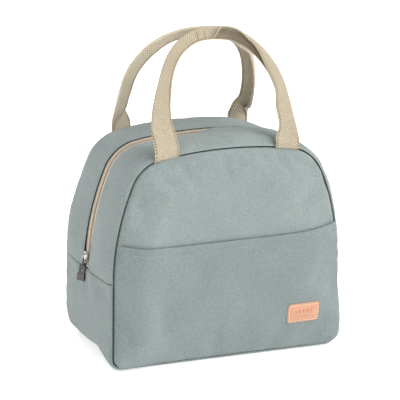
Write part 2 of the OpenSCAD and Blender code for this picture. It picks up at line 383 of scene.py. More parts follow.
# Each half's columns of the gusset, from the seam to the zip
COLUMNS_OF = {"front": np.arange(HALF_COLUMNS), "rear": np.arange(2 * HALF_COLUMNS, HALF_COLUMNS, -1)}


def gusset_columns():
    """Y of each column of the gusset, closer together at the seams, with one more between the zip's lips."""
    ease = np.linspace(0, 1, HALF_COLUMNS) ** 1.35
    front = -SEAM_Y + (SEAM_Y - FRONT_LIP) * ease
    rear = (SEAM_Y - (SEAM_Y - REAR_LIP) * ease)[::-1]
    return np.concatenate([front, [0], rear])


COLUMNS = gusset_columns()


def rounded_edge(d, high, wide):
    """How far cloth stands out this far in from its seam, along a quarter of an ellipse."""
    return high * np.sqrt(1 - (1 - np.clip(d / wide, 0, 1)) ** 2)


def gusset_inset(y, upper):
    """Depth of the gusset under its outer line: rolled at both seams, full between, low at the front lip."""
    roll = SEAM_INSET - rounded_edge(SEAM_Y - np.abs(y), SEAM_INSET, 4 * MM)
    one_belly = 2.6 * MM * (1 - (y / SEAM_Y) ** 2)
    two_bellies = 1.8 * MM * np.sin(np.pi * np.clip((np.abs(y) - 4 * MM) / (SEAM_Y - 4 * MM), 0, 1))
    lips = np.where(y < 0, 0.9 * MM, -0.5 * MM) * bump((np.abs(y) - REAR_LIP) / (7 * MM))
    return roll + upper * (lips - two_bellies) - (1 - upper) * one_belly


def gusset_start():
    """The gusset before it settles: a closed loop of rows, each across the bag from front to rear."""
    s = LOOP_S[:, None]
    height = OUTLINE.at(s)[..., 1]
    # Right of the middle the front fabric has slipped over the zip
    right_of_middle = np.sign(s) * (OUTLINE.top - np.abs(s))
    covered = between(height, 200, 214) * between(right_of_middle, -12, 8)
    slipped = covered * bump((COLUMNS + FRONT_LIP) / (9 * MM)) * (COLUMNS < 0)
    inset = gusset_inset(COLUMNS, between(height, 70, 130))
    on_side = between(height, 0, 30)
    inset = on_side * inset + (1 - on_side) * np.maximum(inset, 0)
    return lift(settled_at(s, COLUMNS, inset - 3.0 * MM * slipped), COLUMNS + 3.6 * MM * slipped)


def stand_out(flat, inset, edge, left_edge, belly):
    """How far a panel's cloth stands out from its seam: over a rolled edge, fuller at the left, and full in
    the middle. The edge is given as its height and its width."""
    d = edge_distance(flat, inset)
    at_left = between(-flat[..., 0], 62, 102)
    full = belly * (1 - (1 - np.clip(d / (48 * MM), 0, 1)) ** 2)
    return rounded_edge(d, *edge) + at_left * rounded_edge(d, left_edge, 30 * MM) + full


def panel_start(sign, left_edge, belly):
    """A front (sign -1) or back panel before it settles."""
    out = stand_out(flat_panel(SEAM_INSET), SEAM_INSET, (2.0 * MM, 7 * MM), left_edge, belly)
    return lift(flat_panel(SEAM_INSET, sign * SEAM_Y), sign * (SEAM_Y + out))


def weld(front, gusset, back):
    """One closed mesh of the three grids, and the index grids that read them back."""
    gusset_ids = np.arange(gusset[..., 0].size).reshape(gusset.shape[:2])
    verts, count = [gusset.reshape(-1, 3)], gusset_ids.size
    faces = grid_faces(*gusset_ids.shape, flip=True, closed_rows=True)
    panel_ids = []
    for panel, column, flip in ((front, 0, False), (back, -1, True)):
        inside = np.zeros(panel.shape[:2], bool)
        inside[1:-1, 1:-1] = True
        seam = gusset[:, column, [0, 2]]
        near = [np.linalg.norm(seam - p, axis=1).argmin() for p in panel[~inside][:, [0, 2]]]
        ids = np.zeros(panel.shape[:2], int)
        ids[~inside] = gusset_ids[near, column]
        ids[inside] = count + np.arange(inside.sum())
        count += inside.sum()
        verts.append(panel[inside])
        faces += [tuple(int(ids.flat[k]) for k in face) for face in grid_faces(*ids.shape, flip)]
        panel_ids.append(ids)
    return np.concatenate(verts), faces, panel_ids[0], gusset_ids, panel_ids[1]


def sewn_shell():
    """The panels and the gusset, pinned at their seams, the zip and the floor, and swollen in between."""
    front, back = panel_start(-1, 6.0 * MM, 4.4 * MM), panel_start(1, 0, 4.8 * MM)
    verts, faces, front_ids, gusset_ids, back_ids = weld(front, gusset_start(), back)
    pins = verts[:, 2] < 1.5 * MM
    pins[gusset_ids[:, [0, -1]]] = True
    pins[gusset_ids[:N_ZIP, HALF_COLUMNS - 1:HALF_COLUMNS + 2]] = True
    verts = settle(verts, faces, pins, pressure=2.0, growth=0.012, frames=18, cap=5 * MM)
    return verts[front_ids], verts[gusset_ids], verts[back_ids]


FRONT, GUSSET, BACK = sewn_shell()


# ---------------------------------------- materials

class Nodes:
    """A material's node tree, built a node at a time."""

    def __init__(self, name):
        self.material = bpy.data.materials.new(name)
        self.material.use_nodes = True
        self.tree = self.material.node_tree
        self.shader = self.tree.nodes["Principled BSDF"]

    def put(self, value, socket):
        if isinstance(value, bpy.types.NodeSocket):
            self.tree.links.new(value, socket)
        else:
            socket.default_value = value

    def node(self, kind, settings=None, **inputs):
        made = self.tree.nodes.new(kind)
        for key, value in (settings or {}).items():
            setattr(made, key, value)
        for key, value in inputs.items():
            self.put(value, made.inputs[key.replace("_", " ")])
        return made

    def math(self, operation, a, b=0.0, c=0.0):
        made = self.node("ShaderNodeMath", {"operation": operation})
        for value, socket in zip((a, b, c), made.inputs):
            self.put(value, socket)
        return made.outputs[0]

    def weighted(self, *terms, plus=0.0):
        """The sum of values times their weights."""
        total = plus
        for value, weight in terms:
            total = self.math("MULTIPLY_ADD", value, weight, total)
        return total

    def cloth_place(self):
        """Where a point lies in the flat cloth, in metres."""
        place = self.node("ShaderNodeAttribute", {"attribute_name": "cloth"})
        return self.node("ShaderNodeSeparateXYZ", Vector=place.outputs["Vector"]).outputs

    def object_place(self):
        """Where a point lies in its piece, in metres."""
        return self.node("ShaderNodeTexCoord").outputs["Object"]

    def noise(self, vector, scale, detail=2.0, roughness=0.5):
        made = self.node("ShaderNodeTexNoise", Vector=vector, Scale=scale, Detail=detail, Roughness=roughness)
        return made.outputs["Fac"]

    def cells(self, vector, scale):
        """How far a point lies from the nearest edge between cells."""
        made = self.node("ShaderNodeTexVoronoi", {"feature": "DISTANCE_TO_EDGE"}, Vector=vector, Scale=scale)
        return made.outputs["Distance"]

    def between(self, factor, low, high):
        """The factor's 0 to 1 as low to high."""
        return self.node("ShaderNodeMapRange", Value=factor, To_Min=low, To_Max=high).outputs[0]

    def mix(self, factor, a, b, kind="RGBA"):
        """Two colours mixed, or two numbers if the kind is FLOAT."""
        made = self.node("ShaderNodeMix", {"data_type": kind})
        first, mixed = (6, 2) if kind == "RGBA" else (2, 0)
        for value, socket in ((factor, 0), (a, first), (b, first + 1)):
            self.put(value, made.inputs[socket])
        return made.outputs[mixed]

    def bump(self, height, distance):
        return self.node("ShaderNodeBump", Height=height, Distance=distance).outputs[0]

    def surface(self, **inputs):
        for key, value in inputs.items():
            self.put(value, self.shader.inputs[key.replace("_", " ")])
        return self.material


def rgb(r, g, b):
    """A colour given as it looks on screen, 0 to 255."""
    shown = (c / 255 for c in (r, g, b))
    return tuple(((c + 0.055) / 1.055) ** 2.4 if c > 0.04 else c / 12.92 for c in shown) + (1.0,)


def ridges(n, place, pitch):
    """Round threads side by side, 0 in the gap and 1 on top."""
    wave = n.math("SINE", n.math("MULTIPLY", place, math.pi / pitch))
    return n.math("POWER", n.math("ABSOLUTE", wave), 0.5)


def woven(name, dark, light, pitch, depth, sheen, lines=0.0, groups=1.0, contrast=0.45, stripe=None):
    """Threads over and under each other in a checked weave, each thread a little different from the last.

    lines adds the slanting ribs of a twill, and groups is the number of threads that run together. stripe is
    a line on both sides of a tape's middle: its distance from there, its width, its colour and how much of
    it shows."""
    n = Nodes(name)
    across, along, _ = n.cloth_place()
    cell = pitch * groups
    row = n.math("FLOOR", n.math("DIVIDE", along, cell))
    column = n.math("FLOOR", n.math("DIVIDE", across, cell))
    over = n.math("FLOORED_MODULO", n.math("ADD", row, column), 2.0)
    height = n.mix(over, ridges(n, along, pitch), ridges(n, across, pitch), "FLOAT")
    slant = n.math("SINE", n.math("MULTIPLY", n.math("ADD", across, along), math.pi / cell))
    thread = n.node("ShaderNodeCombineXYZ", X=column, Y=row).outputs[0]
    random = n.node("ShaderNodeTexWhiteNoise", {"noise_dimensions": "2D"}, Vector=thread).outputs["Value"]
    place = n.node("ShaderNodeCombineXYZ", X=across, Y=along).outputs[0]
    cloudy = n.noise(place, 22.0, 3.0)
    tone = n.weighted((over, contrast), (height, 0.25), (slant, lines), (random, 0.16), (cloudy, 0.30),
                      plus=-0.23)
    colour = n.mix(tone, dark, light)
    # On the zip tapes the stripe is painted shade under and beside the coil; on the webbing it is a row of
    # dark dashes along each stitch line.
    if stripe:
        distance, width, stripe_colour, shown = stripe
        off = n.math("ABSOLUTE", n.math("SUBTRACT", n.math("ABSOLUTE", along), distance))
        inside = n.math("LESS_THAN", off, width / 2)
        wave = n.math("SINE", n.math("MULTIPLY", across, 2 * math.pi / (2.6 * MM)))
        dashes = n.math("GREATER_THAN", wave, 1 - 2 * shown)
        colour = n.mix(n.math("MULTIPLY", n.math("MULTIPLY", inside, dashes), 0.85), colour, stripe_colour)
    relief = n.weighted((n.noise(place, 2600.0), 0.35), (slant, lines), plus=height)
    return n.surface(Base_Color=colour, Roughness=n.between(cloudy, 0.79, 0.93), Normal=n.bump(relief, depth),
                     Sheen_Weight=sheen, Sheen_Roughness=0.5, Sheen_Tint=(1, 1, 1, 1),
                     Specular_IOR_Level=0.25)


def sewing_thread(name, colour):
    """Twisted thread, darker between its turns."""
    n = Nodes(name)
    twist = n.noise(n.object_place(), 1800.0, 1.0)
    shade = n.mix(twist, tuple(0.72 * c for c in colour[:3]) + (1.0,), colour)
    return n.surface(Base_Color=shade, Roughness=n.between(twist, 0.45, 0.6), Normal=n.bump(twist, 0.1 * MM),
                     Sheen_Weight=0.25, Sheen_Roughness=0.4)


def leather(name, low, high, pore):
    """Leather with a cloudy dye and darker pores."""
    n = Nodes(name)
    place = n.object_place()
    pores = n.math("MINIMUM", n.math("MULTIPLY", n.cells(place, 1500.0), 5.0), 1.0)
    cloud = n.noise(place, 130.0, 4.0, 0.6)
    colour = n.mix(n.weighted((pores, -0.25), plus=0.25), n.mix(cloud, low, high), pore)
    relief = n.weighted((pores, 0.5), (cloud, 0.5))
    return n.surface(Base_Color=colour, Roughness=n.between(cloud, 0.42, 0.58),
                     Normal=n.bump(relief, 0.12 * MM), Specular_IOR_Level=0.4,
                     Coat_Weight=0.08, Coat_Roughness=0.35)


def foil(name):
    """Heat-sealed foil film, finely creased."""
    n = Nodes(name)
    place = n.object_place()
    warped = n.noise(place, 60.0, 5.0, 0.65)
    creases = n.weighted((n.cells(place, 70.0), 0.8), plus=warped)
    colour = n.mix(warped, rgb(176, 180, 184), rgb(226, 229, 231))
    return n.surface(Base_Color=colour, Metallic=0.75, Roughness=n.between(warped, 0.24, 0.42),
                     Normal=n.bump(creases, 0.9 * MM))


def plated(name, colour, roughness, wear):
    """Plated metal with fine handling scratches and a little dulling."""
    n = Nodes(name)
    place = n.object_place()
    stretched = n.node("ShaderNodeMapping", Vector=place, Scale=(3000.0, 3000.0, 240.0)).outputs[0]
    dull = n.noise(place, 420.0, 3.0)
    shade = n.mix(n.math("MULTIPLY", dull, 0.35), colour, wear)
    return n.surface(Base_Color=shade, Metallic=1.0, Roughness=n.between(dull, roughness, roughness + 0.16),
                     Normal=n.bump(n.noise(stretched, 1.0), 0.02 * MM))


def nylon(name):
    """The slightly clear plastic of the zip's coil."""
    n = Nodes(name)
    tone = n.noise(n.object_place(), 700.0)
    colour = n.mix(tone, rgb(158, 141, 122), rgb(212, 198, 182))
    return n.surface(Base_Color=colour, Roughness=n.between(tone, 0.32, 0.45), Normal=n.bump(tone, 0.03 * MM),
                     Subsurface_Weight=0.1, Subsurface_Radius=(1 * MM, 0.8 * MM, 0.6 * MM))


OXFORD = dict(pitch=0.625 * MM, depth=0.22 * MM, lines=0.16, groups=2.0, contrast=0.38)
BAND = dict(pitch=0.7 * MM, depth=0.4 * MM, sheen=0.12, lines=0.2, groups=2.0)
ZIP_WEAVE = dict(pitch=0.45 * MM, depth=0.15 * MM, sheen=0.2)
SAGE = woven("sage_oxford", rgb(94, 105, 105), rgb(156, 165, 162), sheen=0.15, **OXFORD)
# The pocket's cloth is a darker copy of the same sage oxford: painted shade, standing in for less light on
# the pocket than on the panel.
SHADED_POCKET_SAGE = woven("sage_oxford_pocket_painted_shade", rgb(86, 97, 98), rgb(147, 156, 154), sheen=0.12, **OXFORD)
WEBBING_OF = {
    "front": woven("cream_webbing", rgb(136, 122, 98), rgb(210, 200, 177), contrast=0.36,
                   stripe=(10.8 * MM, 1.3 * MM, rgb(120, 102, 74), 0.75), **BAND),
    # The rear handle's webbing is a lighter, more contrasting copy of the same webbing: painted light, for
    # light that the lamps bring too little of to the rear handle.
    "rear": woven("cream_webbing_rear_painted_light", rgb(150, 136, 110), rgb(238, 228, 206), contrast=0.5,
                  stripe=(10.8 * MM, 1.3 * MM, rgb(128, 110, 82), 0.75), **BAND),
}
TAPE_OF = {
    # The front tape's dark stripe under the coil is painted shade, so that the gaps between the coil's turns
    # read dark.
    "front": woven("zip_tape_weave", rgb(172, 156, 136), rgb(220, 208, 192),
                   stripe=(2.0 * MM, 2.8 * MM, rgb(104, 84, 64), 1.0), **ZIP_WEAVE),
    # The rear tape is a darker copy of the front one, painted shade, and its near-black stripe is a painted
    # shadow of the gap under the rear lip.
    "rear": woven("zip_tape_shaded_weave", rgb(160, 142, 120), rgb(206, 190, 168),
                  stripe=(4.2 * MM, 5.0 * MM, rgb(36, 35, 34), 1.0), **ZIP_WEAVE),
}
BINDING = woven("binding_tape", rgb(44, 48, 50), rgb(84, 90, 92), 0.6 * MM, 0.15 * MM, 0.15)
# A near-black cord that stands for the shadow in the gap under the rear zip lip: painted shadow.
SHADOW_CORD = woven("painted_shadow_cord", rgb(26, 27, 28), rgb(52, 54, 55), 0.5 * MM, 0.12 * MM, 0.05)
FOIL = foil("foil_lining")
SAGE_THREAD = sewing_thread("sage_thread", rgb(150, 162, 161))
CREAM_THREAD = sewing_thread("cream_thread", rgb(236, 224, 198))
PEACH_THREAD = sewing_thread("peach_thread", rgb(250, 224, 198))
WEBBING_THREAD = sewing_thread("webbing_thread", rgb(128, 110, 80))
TACK_THREAD = sewing_thread("bartack_thread", rgb(178, 160, 128))
PEACH_LEATHER = leather("peach_leather", rgb(168, 122, 94), rgb(190, 143, 115), rgb(145, 96, 71))
PRESSED_LEATHER = leather("pressed_leather", rgb(164, 112, 84), rgb(178, 124, 94), rgb(140, 90, 66))
NICKEL = plated("nickel_plate", rgb(170, 164, 156), 0.2, rgb(120, 116, 110))
GUNMETAL = plated("gunmetal_plate", rgb(84, 82, 84), 0.14, rgb(44, 43, 46))
COIL = nylon("coil_nylon")


# ---------------------------------------- camera, floor and light

def set_camera():
    azimuth, elevation, roll = (math.radians(a) for a in (-22.8, 15.5, 0.85))
    distance, aim = 2.172, Vector((-0.003, 0, 0.1452))
    flat = math.cos(elevation)
    back = Vector((math.sin(azimuth) * flat, -math.cos(azimuth) * flat, math.sin(elevation)))
    level = Vector((0, 0, 1)).cross(back).normalized()
    upright = back.cross(level)
    right = level * math.cos(roll) + upright * math.sin(roll)
    up = upright * math.cos(roll) - level * math.sin(roll)
    camera = bpy.data.objects.new("camera", bpy.data.cameras.new("camera"))
    bpy.context.scene.collection.objects.link(camera)
    turned = Matrix((right, up, back)).transposed().to_4x4()
    camera.matrix_world = Matrix.Translation(aim + back * distance) @ turned
    camera.data.lens = 196.5
    camera.data.sensor_width = 36
    bpy.context.scene.camera = camera


def aimed_light(name, kind, place, strength, **settings):
    """A light turned to the middle of the bag."""
    light = bpy.data.lights.new(name, kind)
    light.energy = strength
    for key, value in settings.items():
        setattr(light, key, value)
    obj = bpy.data.objects.new(name, light)
    bpy.context.scene.collection.objects.link(obj)
    obj.location = place
    obj.rotation_euler = (Vector((0, 0, 0.14)) - Vector(place)).to_track_quat("-Z", "Y").to_euler()


def set_stage():
    size = 12.0
    corners = [(-size, -size, 0), (size, -size, 0), (size, size, 0), (-size, size, 0)]
    # The floor glows by emission though it is no lamp: painted light that lightens the bag's shadow on it and
    # lights the bag from below.
    glowing_paper = Nodes("glowing_floor_paper").surface(Base_Color=(0.9, 0.9, 0.9, 1), Roughness=0.9, Specular_IOR_Level=0.1,
                                         Emission_Color=(1, 1, 1, 1), Emission_Strength=0.5)
    new_object("floor", corners, [(0, 1, 2, 3)], glowing_paper)
    world = bpy.data.worlds.new("studio")
    world.use_nodes = True
    world.node_tree.nodes["Background"].inputs["Color"].default_value = (1, 1, 1, 1)
    world.node_tree.nodes["Background"].inputs["Strength"].default_value = 0.57
    bpy.context.scene.world = world
    aimed_light("key", "SUN", (1.2, -0.9, 1.6), 3.5, angle=math.radians(50))
    aimed_light("top_fill", "AREA", (-0.5, 0.1, 1.7), 9, size=1.0)
    aimed_light("left_fill", "AREA", (-1.6, 0.65, 0.7), 11, size=1.0)
    aimed_light("low_fill", "AREA", (0.5, -2.3, 0.15), 20, shape="RECTANGLE", size=1.2, size_y=0.6)
    bpy.context.scene.view_settings.view_transform = "Standard"


set_camera()
set_stage()


# ---------------------------------------- shared by the pieces

def place(obj, body, slot):
    """Body is a body's name, which the piece is attached to; for front or rear the piece's placement is only
    baked into its mesh."""
    if body in SIGN:
        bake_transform(obj)
    else:
        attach(obj, body)
    return obj


def padded_cloth(obj, body):
    """Outer fabric, thickened and placed; the foam under it on the bag is not drawn."""
    thicken(obj)
    place(obj, body, "fabric")
    return obj


class Surface:
    """The outside of a front grid, met by a line of sight along Y."""

    def __init__(self, grid):
        corners = [Vector(p) for p in grid.reshape(-1, 3)]
        self.tree = BVHTree.FromPolygons(corners, grid_faces(*grid.shape[:2]))

    def y(self, x, z):
        hit = self.tree.ray_cast(Vector((x, -1, z)), Vector((0, 1, 0)))[0]
        return hit.y if hit else -SEAM_Y

    def points(self, flat, proud):
        """Points in X and Z, laid on the surface and standing proud of it."""
        y = np.array([self.y(x, z) for x, z in flat.reshape(-1, 2)])
        return lift(flat, y.reshape(flat.shape[:-1]) - proud)


def stitch_row(name, path, normals, material, pitch=3.0 * MM, radius=0.22 * MM):
    """Thread lying on the cloth in short stitches, each dipping in at its two ends."""
    normals = np.broadcast_to(normals, path.shape)
    far, shown = distances(path), 0.72
    t = np.linspace(0, 1, 6)
    lift_by = radius * (2.4 * np.sin(np.pi * t) - 0.9)
    thick = radius * np.sqrt(np.clip(1 - (2 * t - 1) ** 4, 0.04, 1))
    stitches = []
    for k in range(int(far[-1] / pitch)):
        s = (k + 0.5 * (1 - shown) + shown * t) * pitch
        centre = np.stack([np.interp(s, far, path[:, i]) for i in range(3)], -1)
        normal = unit(np.stack([np.interp(s, far, normals[:, i]) for i in range(3)], -1))
        side = unit(np.cross(unit(np.gradient(centre, axis=0)), normal))
        stitches.append(rings_around(centre + lift_by[:, None] * normal, side, normal, thick, 6))
    return tubes_object(name, stitches, material)


# ---------------------------------------- outer fabric

SEAM_TURN = ((0.5, 0.1), (0.8, -0.6), (0.85, -3.2))      # steps into the bag and outwards, in millimetres
LIP_TURN = ((0.5, -0.35), (1.15, 0), (1.2, 3.5))


def creased(grid, creases):
    """Soft valleys in a panel: each has two ends in X and Z, a depth and a width, all in millimetres."""
    x, z = grid[..., 0] / MM, grid[..., 2] / MM
    inward = -np.sign(grid[0, 0, 1])
    for (x0, z0), (x1, z1), deep, wide in creases:
        run_x, run_z = x1 - x0, z1 - z0
        length = math.hypot(run_x, run_z)
        t = ((x - x0) * run_x + (z - z0) * run_z) / length ** 2
        off = ((x - x0) * run_z - (z - z0) * run_x) / length
        grid[..., 1] += inward * deep * MM * bump(off / wide) * smooth(2.5 * t) * smooth(2.5 * (1 - t))
    return grid


def shell_panel(name, grid, half):
    """The front or back panel, its edges turned in at the seam."""
    sign, flat = SIGN[half], flat_panel(PANEL_INSET)
    grid = creased(grid.copy(), PANEL_CREASES)
    grid[..., [0, 2]] += flat - flat_panel(SEAM_INSET)
    obj = grid_object(name, grid, SAGE, flat, flip=sign > 0)
    turn_in(obj, (0, -sign * 0.7 * MM, 0))
    turn_in(obj, (0, -sign * 2.6 * MM, 0))
    return padded_cloth(obj, half)


def turned(edge, s, sign, steps):
    """An edge of the gusset rolled over and carried on, as further columns of points."""
    out = np.array([0, sign * MM, 0])
    return np.stack([edge + deep * MM * inwards(s) + far * out for deep, far in steps], 1)


def zip_gusset_fabric(half):
    """The half of the zip gusset between a panel's seam and the zip, hemmed beside the zip."""
    sign, s = SIGN[half], ZIP_LOOP_S
    rows = GUSSET[:N_ZIP, COLUMNS_OF[half]]
    seam = turned(rows[:, 0], s, sign, SEAM_TURN)[:, ::-1]
    grid = np.concatenate([seam, rows, turned(rows[:, -1], s, sign, LIP_TURN)], 1)
    y = np.pad(COLUMNS[COLUMNS_OF[half]], 3, "edge")
    y[-1] += sign * 3.5 * MM
    cloth = cloth_grid(np.where(s > 0, s, 2 * OUTLINE.top + s), y)
    grid, cloth = side_seam_turn(grid, cloth, s[[0, -1]])
    return padded_cloth(grid_object(half + "_zip_gusset_cloth", grid, SAGE, cloth, flip=sign < 0), half)


def side_seam_turn(grid, cloth, s_ends):
    """Both ends of a gusset piece drawn back from the side seams and turned in."""
    ends = []
    for edge, nearest, down in zip(grid[[0, -1]], grid[[1, -2]], unit(inwards(s_ends))):
        drawn = edge + 0.4 * MM * unit(nearest - edge)
        ends.append(np.array([drawn + deep * MM * down for deep in (0.5, 1.0, 3.2)]))
    grid = np.concatenate([ends[0][::-1], grid[1:-1], ends[1]])
    return grid, np.concatenate([cloth[:1]] * 3 + [cloth[1:-1]] + [cloth[-1:]] * 3)


def lower_gusset():
    """Sides under the zip and base, in one strip with a seam allowance all round."""
    s, grid = LOW_LOOP_S, np.concatenate([GUSSET[N_ZIP - 1:], GUSSET[:1]])
    front = turned(grid[:, 0], s, -1, SEAM_TURN)[:, ::-1]
    grid = np.concatenate([front, grid, turned(grid[:, -1], s, 1, SEAM_TURN)], 1)
    grid, cloth = side_seam_turn(grid, cloth_grid(s, np.pad(COLUMNS, 3, "edge")), s[[0, -1]])
    return padded_cloth(grid_object("lower_gusset", grid, SAGE, cloth, flip=True), "root")


PANEL_CREASES = (
    ((66, 152), (118, 178), 3.4, 6), ((62, 186), (110, 194), 2.0, 5), ((-94, 200), (-58, 166), -2.6, 6),
    ((-102, 190), (-86, 138), 2.8, 7), ((44, 210), (74, 172), 2.0, 6), ((-58, 210), (-28, 170), 2.0, 5),
)
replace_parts(shell_panel("front_panel", FRONT, "front"),
            "front_panel_lower", "front_panel_upper", "front_foam_lower", "front_foam_upper")
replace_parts(shell_panel("back_panel", BACK, "rear"),
            "back_panel_lower", "back_panel_upper", "back_foam_lower", "back_foam_upper")
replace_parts(zip_gusset_fabric("front"),
            "front_gusset_ends", "front_zip_gusset", "front_gusset_foam")
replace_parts(zip_gusset_fabric("rear"),
            "rear_gusset_ends", "rear_zip_gusset", "rear_gusset_foam")
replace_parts(lower_gusset(), "base_gusset", "base_foam")


# ---------------------------------------- front pocket

POCKET_BELLY = 7.0 * MM
HEM_H = 8 * MM
POCKET_SIDE_H = POCKET_H + 4 * MM
POCKET_CREASES = (
    ((-70, 118), (-22, 96), 1.3, 8), ((-20, 122), (-44, 60), 1.2, 8), ((-108, 110), (-96, 26), 1.3, 6),
    ((112, 108), (78, 54), 1.3, 7), ((32, 120), (64, 84), 1.2, 7),
)


def pocket_grid():
    """The slip pocket: caught in the seam at its sides and base, slack along its top edge."""
    s = np.linspace(OUTLINE.corner - 10 * MM, OUTLINE.shoulder, 500)
    left, right = (settled_at(side * s, -SEAM_Y, PANEL_INSET) for side in (-1, 1))
    low, hem = PANEL_INSET + 10 * MM, POCKET_SIDE_H - 14 * MM
    heights = np.concatenate([PANEL_INSET + 10 * MM * np.linspace(0, 1, 7)[:-1] ** 1.6,
                              np.linspace(low, hem, 26)[:-1], np.linspace(hem, POCKET_SIDE_H, 15)])
    across = np.sin(np.linspace(-1, 1, 61) * math.pi / 2 * 0.9) / math.sin(math.pi / 2 * 0.9)
    half_w = [np.interp(heights, side[:, 1], np.abs(side[:, 0]))[None] for side in (left, right)]
    x = across[:, None] * np.where(across[:, None] < 0, *half_w)
    slack = (1 - np.abs(across) ** 4) * 5.5 * MM - across * 1.0 * MM
    z = heights[None] - slack[:, None] * smooth(heights / POCKET_SIDE_H)[None] ** 2
    flat = np.stack([x, z], -1)
    out = stand_out(flat, PANEL_INSET, (1.4 * MM, 3 * MM), 6.4 * MM, POCKET_BELLY)
    return lift(flat, -(SEAM_Y + 1.2 * MM + out)), flat


def settled_pocket():
    """The pocket as it hangs clear of the panel behind it, with its creases and the ridge of its hem."""
    grid, flat = pocket_grid()
    pins = np.zeros(grid.shape[:2], bool)
    pins[[0, -1]] = True
    pins[:, 0] = True
    faces = grid_faces(*grid.shape[:2])
    verts = settle(grid.reshape(-1, 3), faces, pins.ravel(),
                   pressure=0.25, growth=0.01, frames=16, cap=3 * MM)
    grid = verts.reshape(grid.shape)
    panel = Surface(FRONT)
    clear = 1.7 * MM + 0.9 * MM * between(flat[..., 1] - POCKET_H, -30, -6)
    for row, gaps in zip(grid, clear):
        for point, gap in zip(row, gaps):
            point[1] = min(point[1], panel.y(point[0], point[2]) - gap)
    creased(grid, POCKET_CREASES)
    below = flat[:, -1:, 1] - flat[..., 1]
    grid[..., 1] += 0.45 * MM * bump((below - HEM_H + 1 * MM) / (1.3 * MM))
    return grid, flat


def pocket():
    """The pocket with its top edge folded back inside."""
    # How far each further row lies up and back from the edge
    hem_in = np.array([(0.35, 0.5), (0.3, 1.3), (-1.5, 1.75), (-8.0, 1.6)]) * MM
    grid = np.concatenate([POCKET] + [POCKET[:, -1:] + (0, back, up) for up, back in hem_in], 1)
    flat = np.concatenate([POCKET_FLAT] + [POCKET_FLAT[:, -1:] + (0, up) for up, _ in hem_in], 1)
    obj = grid_object("front_pocket", grid, SHADED_POCKET_SAGE, flat + (0.3 * MM, 0.2 * MM))
    thicken(obj)
    place(obj, "front", "fabric")
    return obj


POCKET, POCKET_FLAT = settled_pocket()
POCKET_FACE = Surface(POCKET)
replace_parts(pocket(), "pocket_panel")


def pocket_stitches():
    row = POCKET_FLAT[2:-2, -1] - (0, HEM_H - 1 * MM)
    path = POCKET_FACE.points(row, 0.0)
    obj = stitch_row("pocket_hem_stitches", path, FORWARD, SAGE_THREAD, radius=0.2 * MM)
    place(obj, "front", "thread")


pocket_stitches()


# ---------------------------------------- leather patch

def patch_size():
    """Middle, width and height; on the settled pocket the patch sits a little to the left and higher."""
    low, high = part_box("label_patch")
    middle = np.array([low.x + high.x, low.z + high.z]) / 2
    return middle + (-2.4 * MM, 2.2 * MM), high.x - low.x, high.z - low.z


PATCH, PATCH_W, PATCH_H = patch_size()
PATCH_R = 3.2 * MM


def leather_patch():
    """Rings of a rounded rectangle, from under the edge, round it and in to the middle."""
    # Millimetres in from the edge, and height
    rings = ((0.3, -0.3), (0.05, 0.1), (0.0, 0.45), (0.12, 0.85), (0.4, 1.1), (0.8, 1.3), (1.3, 1.3),
             (1.9, 0.85), (2.5, 1.25), (4.0, 1.32), (6.5, 1.35), (8.8, 1.36))
    loops = []
    for inset, height in rings:
        r = max(PATCH_R - inset * MM, 0.4 * MM)
        loop = rounded_box((PATCH_W / 2 - inset * MM, PATCH_H / 2 - inset * MM), r, 6)
        loops.append(POCKET_FACE.points(loop + PATCH, height * MM))
    return place(rounded(tubes_object("label_patch_leather", [loops], PEACH_LEATHER)), "root", "leather")


def patch_stitches():
    loop = rounded_box((PATCH_W / 2 - 1.9 * MM, PATCH_H / 2 - 1.9 * MM), 1.5 * MM, 6)
    path = POCKET_FACE.points(np.concatenate([loop, loop[:1]]) + PATCH, 1.15 * MM)
    obj = stitch_row("label_patch_stitches", path, FORWARD, PEACH_THREAD, pitch=2.8 * MM, radius=0.3 * MM)
    place(obj, "root", "thread")


def patch_motif():
    """A plain pressed ornament: five small leaves over a bar."""
    t, angle = np.linspace(0, 1, 9)[:, None], np.arange(6) * 2 * math.pi / 6
    strokes = [((k - 2) * 4.2 * MM, 1.6 * MM, (k - 2) * 0.18, 4.4 * MM, 1.05 * MM) for k in range(5)]
    strokes.append((0.0, -3.6 * MM, math.pi / 2, 14 * MM, 0.4 * MM))
    tubes = []
    for x, z, tilt, length, width in strokes:
        along = np.array([math.sin(tilt), math.cos(tilt)])
        side = np.array([along[1], -along[0]])
        line = PATCH + (x, z) + (t - 0.5) * length * along
        spread = width * np.sqrt(np.clip(1 - (2 * t - 1) ** 2, 0.02, 1)) * np.cos(angle)
        flat = line[:, None] + spread[..., None] * side
        tubes.append(POCKET_FACE.points(flat, 1.3 * MM + 0.14 * MM * np.sin(angle)))
    place(tubes_object("label_patch_motif", tubes, PRESSED_LEATHER), "root", "leather")


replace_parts(leather_patch(), "label_patch")
patch_stitches()
patch_motif()


# ---------------------------------------- zip

TAPE_EDGE = -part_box("front_zip_tape")[0].y
COIL_Y = -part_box("front_zip_coil")[1].y
COIL_EDGE = -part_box("front_zip_coil")[0].y
COIL_TOP = BODY_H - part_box("front_zip_coil")[1].z
TAPE_IN = BODY_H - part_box("front_zip_tape")[1].z
COIL_PITCH = 1.8 * MM
ZIP_LENGTH = 2 * (OUTLINE.top - OUTLINE.seam)


def zip_place(along, y, inset):
    """Points by their distance along the zip from its left end, their Y and their depth."""
    s = np.asarray(along) + OUTLINE.seam - OUTLINE.top
    s = np.where(s < 0, -(OUTLINE.top + s), OUTLINE.top - s)
    return lift(settled_at(s, y, inset), y)


def zip_tape(half):
    along = np.linspace(0, ZIP_LENGTH, 150)
    cloth = cloth_grid(along, SIGN[half] * np.linspace(COIL_Y, TAPE_EDGE, 9))
    grid = zip_place(cloth[..., 0], cloth[..., 1], TAPE_IN)
    obj = grid_object(half + "_zip_tape_weave", grid, TAPE_OF[half], cloth, flip=half == "front")
    thicken(obj, 0.6 * MM)
    return place(obj, half, "zip_tape")


